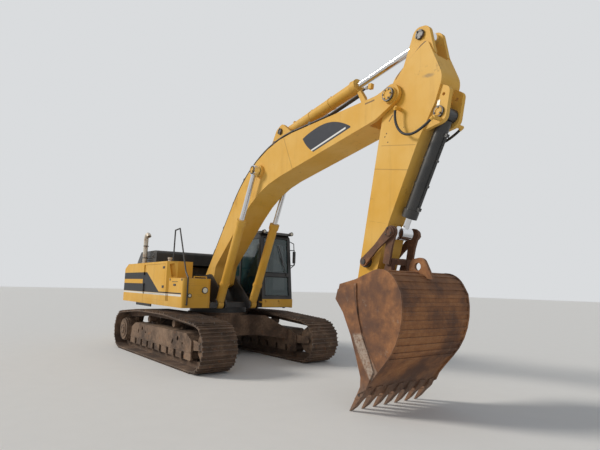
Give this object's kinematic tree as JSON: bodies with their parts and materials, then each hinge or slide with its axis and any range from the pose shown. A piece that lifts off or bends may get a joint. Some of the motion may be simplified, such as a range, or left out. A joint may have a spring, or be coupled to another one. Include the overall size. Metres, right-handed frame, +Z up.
{
  "type": "crawler excavator",
  "caption": "Tracked excavator with a cab, bent boom, stick and wide backhoe bucket, which swings on its tracks and digs by hydraulic cylinders.",
  "frame": {"origin": "on the ground, midway between the counterweight's tail and the stick's rear ear, in the machine's middle plane", "axes": "+X towards the bucket, +Y to the machine's left, +Z up; the upper machine lies along X and the tracks are turned 2.6 degrees about Z"},
  "size_m": [10.9791, 3.7568, 5.7242],
  "materials": {
    "yellow_paint": "worn gloss paint",
    "black_paint": "dusty satin paint",
    "mud_steel": "dried mud over steel",
    "rust_orange": "rusted steel",
    "rod_chrome": "ground and plated",
    "steel": "weathered",
    "seat_fabric": "woven",
    "hose_rubber": "matt",
    "glass": "tinted"
  },
  "bodies": {
    "undercarriage": {"carbody": "black_paint", "track_frame_right": "mud_steel", "track_frame_left": "mud_steel", "track_right": "mud_steel", "track_left": "mud_steel", "idlers": "mud_steel", "sprockets": "mud_steel", "final_drives": "mud_steel", "track_rollers": "mud_steel", "carrier_rollers": "mud_steel", "swing_bearing": "black_paint"},
    "upper": {"deck": "black_paint", "counterweight": "yellow_paint", "engine": "black_paint", "right_housing": "yellow_paint", "left_housing": "yellow_paint", "skirts": "yellow_paint", "tool_box": "yellow_paint", "box_lamp_set": "steel", "filler_cap": "steel", "handrail": "black_paint", "swing_motor": "black_paint", "cab_base": "yellow_paint", "cab_frame": "black_paint", "cab_roof": "black_paint", "cab_glass": "glass", "cab_fittings": "black_paint", "seat": "seat_fabric", "controls": "black_paint", "exhaust": "steel"},
    "hood": {"hood": "black_paint"},
    "cab_door": {"cab_door": "black_paint", "door_glass": "glass"},
    "door_right": {"door_right": "yellow_paint"},
    "door_left": {"door_left": "yellow_paint"},
    "boom": {"boom": "yellow_paint", "boom_lines": "yellow_paint"},
    "stick": {"stick": "yellow_paint", "stick_nose": "yellow_paint", "idler_pins": "yellow_paint", "stick_ears": "yellow_paint", "hose_right": "hose_rubber", "hose_left": "hose_rubber"},
    "bucket": {"bucket": "rust_orange"},
    "idler_links": {"idler_links": "rust_orange"},
    "power_link": {"power_link": "rust_orange"},
    "boom_barrels": {"boom_barrels": "yellow_paint"},
    "boom_rods": {"boom_rods": "rod_chrome"},
    "stick_barrel": {"stick_barrel": "yellow_paint"},
    "stick_rod": {"stick_rod": "rod_chrome"},
    "bucket_barrel": {"bucket_barrel": "black_paint"},
    "bucket_rod": {"bucket_rod": "rod_chrome"}
  },
  "joints": [
    {"name": "swing", "type": "hinge", "parent": "undercarriage", "child": "upper", "pos_m": [-1.71638, 0, 1.2], "axis": [0, 0, 1], "continuous": true},
    {"name": "hood_lift", "type": "hinge", "parent": "upper", "child": "hood", "pos_m": [-5.07638, 0, 2.34], "axis": [0, -1, 0], "range_deg": [0, 60]},
    {"name": "cab_door_swing", "type": "hinge", "parent": "upper", "child": "cab_door", "pos_m": [-1.55638, 1.518, 2], "axis": [0, 0, 1], "range_deg": [0, 160]},
    {"name": "door_right_swing", "type": "hinge", "parent": "upper", "child": "door_right", "pos_m": [-3.30638, -1.468, 1.85], "axis": [0, 0, -1], "range_deg": [0, 120]},
    {"name": "door_left_swing", "type": "hinge", "parent": "upper", "child": "door_left", "pos_m": [-3.30638, 1.468, 1.85], "axis": [0, 0, 1], "range_deg": [0, 120]},
    {"name": "boom_lift", "type": "hinge", "parent": "upper", "child": "boom", "pos_m": [-1.71638, 0, 1.85], "axis": [0, -1, 0], "range_deg": [-62, 34]},
    {"name": "stick_swing", "type": "hinge", "parent": "boom", "child": "stick", "pos_m": [4.48439, 0, 4.76788], "axis": [0, 1, 0], "range_deg": [-90, 18]},
    {"name": "bucket_curl", "type": "hinge", "parent": "stick", "child": "bucket", "pos_m": [3.83197, 0, 1.69845], "axis": [0, 1, 0], "range_deg": [-12, 135]},
    {"name": "boom_barrel_tilt", "type": "hinge", "parent": "upper", "child": "boom_barrels", "pos_m": [-0.76638, 0, 1.3], "axis": [0, -1, 0], "range_deg": [-65.71, 36.17]},
    {"name": "boom_rod_slide", "type": "slide", "parent": "boom_barrels", "child": "boom_rods", "axis": [0.4285, 0, 0.9035], "range_m": [-1.0125, 0.5571]},
    {"name": "stick_barrel_tilt", "type": "hinge", "parent": "boom", "child": "stick_barrel", "pos_m": [1.23232, 0, 5.07217], "axis": [0, 1, 0], "range_deg": [-2.19, 0.68]},
    {"name": "stick_rod_slide", "type": "slide", "parent": "stick_barrel", "child": "stick_rod", "axis": [0.9907, 0, 0.1361], "range_m": [-1.3298, 0.2692]},
    {"name": "idler_link_swing", "type": "hinge", "parent": "stick", "child": "idler_links", "pos_m": [3.93343, 0, 2.17579], "axis": [0, 1, 0], "range_deg": [-9.29, 101.41]},
    {"name": "power_link_swing", "type": "hinge", "parent": "bucket", "child": "power_link", "pos_m": [4.31891, 0, 1.88578], "axis": [0, 1, 0], "range_deg": [-92.91, 8.53]},
    {"name": "bucket_barrel_tilt", "type": "hinge", "parent": "stick", "child": "bucket_barrel", "pos_m": [5.31006, 0, 4.27546], "axis": [0, 1, 0], "range_deg": [-8.67, 1.04]},
    {"name": "bucket_rod_slide", "type": "slide", "parent": "bucket_barrel", "child": "bucket_rod", "axis": [-0.4478, 0, -0.8941], "range_m": [-0.0943, 1.0195]}
  ],
  "couplings": [
    {"joint": "boom_barrel_tilt", "follows": "boom_lift", "ratio": 1.055},
    {"joint": "boom_rod_slide", "follows": "boom_lift", "m_per_rad": 0.932},
    {"joint": "stick_barrel_tilt", "follows": "stick_swing", "ratio": 0.021},
    {"joint": "stick_rod_slide", "follows": "stick_swing", "m_per_rad": 0.844},
    {"joint": "idler_link_swing", "follows": "bucket_curl", "ratio": 0.749},
    {"joint": "power_link_swing", "follows": "bucket_curl", "ratio": -0.686},
    {"joint": "bucket_barrel_tilt", "follows": "bucket_curl", "ratio": -0.062},
    {"joint": "bucket_rod_slide", "follows": "bucket_curl", "m_per_rad": 0.431}
  ]
}
